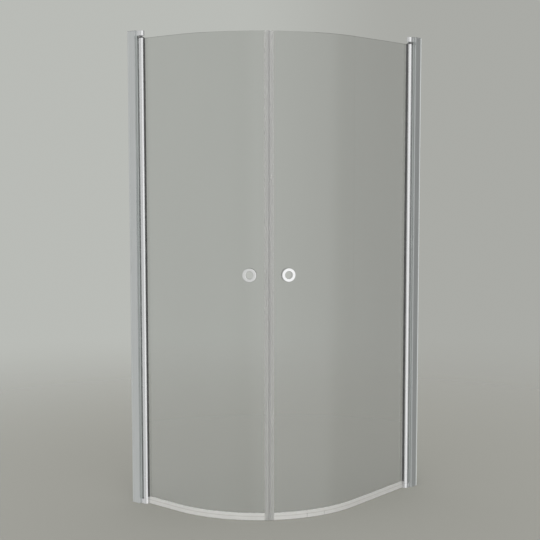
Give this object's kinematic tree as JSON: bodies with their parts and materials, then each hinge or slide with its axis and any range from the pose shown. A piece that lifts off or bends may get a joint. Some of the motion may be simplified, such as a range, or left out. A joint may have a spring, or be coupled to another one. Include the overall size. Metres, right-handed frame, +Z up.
{
  "type": "quadrant shower enclosure",
  "caption": "Offset quadrant shower enclosure: wall profiles and curved glass doors that lift as they swing out, with ring handles and magnet seals.",
  "frame": {"origin": "on the floor, at the middle of the bounding box", "axes": "+X away from the left wall, +Y towards the right wall, +Z up"},
  "size_m": [0.8, 1, 2],
  "materials": {
    "satin_aluminium": "satin anodised extrusion",
    "polished_metal": "bright polished",
    "chrome_ring": "polished chrome",
    "stainless": "plain stainless",
    "dark_steel": "dark, low gloss",
    "bearing_plastic": "moulded acetal",
    "grey_plastic": "fine moulded texture",
    "dark_rubber": "extruded, matt",
    "clear_pvc": "milky translucent extrusion",
    "magnet_bar": "bonded magnet strip",
    "clear_glass": "clear toughened glass"
  },
  "bodies": {
    "wall_frame": {"left_wall_profile": "satin_aluminium", "left_wall_cap": "grey_plastic", "left_hinge_profile": "satin_aluminium", "left_hinge_seal": "clear_pvc", "left_profile_screws": "stainless", "left_screw_covers": "grey_plastic", "left_top_block": "polished_metal", "left_top_cover": "polished_metal", "left_top_screws": "stainless", "left_pin_spring": "stainless", "left_bottom_block": "polished_metal", "left_bottom_screws": "stainless", "left_bottom_pin": "stainless", "left_lower_cam": "bearing_plastic", "right_wall_profile": "satin_aluminium", "right_wall_cap": "grey_plastic", "right_hinge_profile": "satin_aluminium", "right_hinge_seal": "clear_pvc", "right_profile_screws": "stainless", "right_screw_covers": "grey_plastic", "right_top_block": "polished_metal", "right_top_cover": "polished_metal", "right_top_screws": "stainless", "right_pin_spring": "stainless", "right_bottom_block": "polished_metal", "right_bottom_screws": "stainless", "right_bottom_pin": "stainless", "right_lower_cam": "bearing_plastic"},
    "left_guide": {"left_top_pin": "dark_steel"},
    "left_door": {"left_door_tube": "polished_metal", "left_top_plug": "bearing_plastic", "left_upper_cam": "bearing_plastic", "left_glazing_gasket": "dark_rubber", "left_glass_pane": "clear_glass", "left_bottom_seal": "clear_pvc", "left_magnet_seal": "clear_pvc", "left_magnet_strip": "magnet_bar", "left_handle_outer_ring": "chrome_ring", "left_handle_inner_ring": "chrome_ring", "left_handle_washers": "clear_pvc"},
    "right_guide": {"right_top_pin": "dark_steel"},
    "right_door": {"right_door_tube": "polished_metal", "right_top_plug": "bearing_plastic", "right_upper_cam": "bearing_plastic", "right_glazing_gasket": "dark_rubber", "right_glass_pane": "clear_glass", "right_bottom_seal": "clear_pvc", "right_magnet_seal": "clear_pvc", "right_magnet_strip": "magnet_bar", "right_handle_outer_ring": "chrome_ring", "right_handle_inner_ring": "chrome_ring", "right_handle_washers": "clear_pvc"}
  },
  "joints": [
    {"name": "left_lift", "type": "slide", "parent": "wall_frame", "child": "left_guide", "axis": [0, 0, 1], "range_m": [0, 0.006], "deforming": ["left_pin_spring"]},
    {"name": "left_swing", "type": "hinge", "parent": "left_guide", "child": "left_door", "pos_m": [-0.338, -0.478, 0], "axis": [0, 0, -1], "range_deg": [0, 95]},
    {"name": "right_lift", "type": "slide", "parent": "wall_frame", "child": "right_guide", "axis": [0, 0, 1], "range_m": [0, 0.006], "deforming": ["right_pin_spring"]},
    {"name": "right_swing", "type": "hinge", "parent": "right_guide", "child": "right_door", "pos_m": [0.378, 0.438, 0], "axis": [0, 0, 1], "range_deg": [0, 95]}
  ],
  "couplings": [
    {"joint": "left_lift", "follows": "left_swing", "m_per_rad": 0.0035969},
    {"joint": "right_lift", "follows": "right_swing", "m_per_rad": 0.0035969}
  ]
}
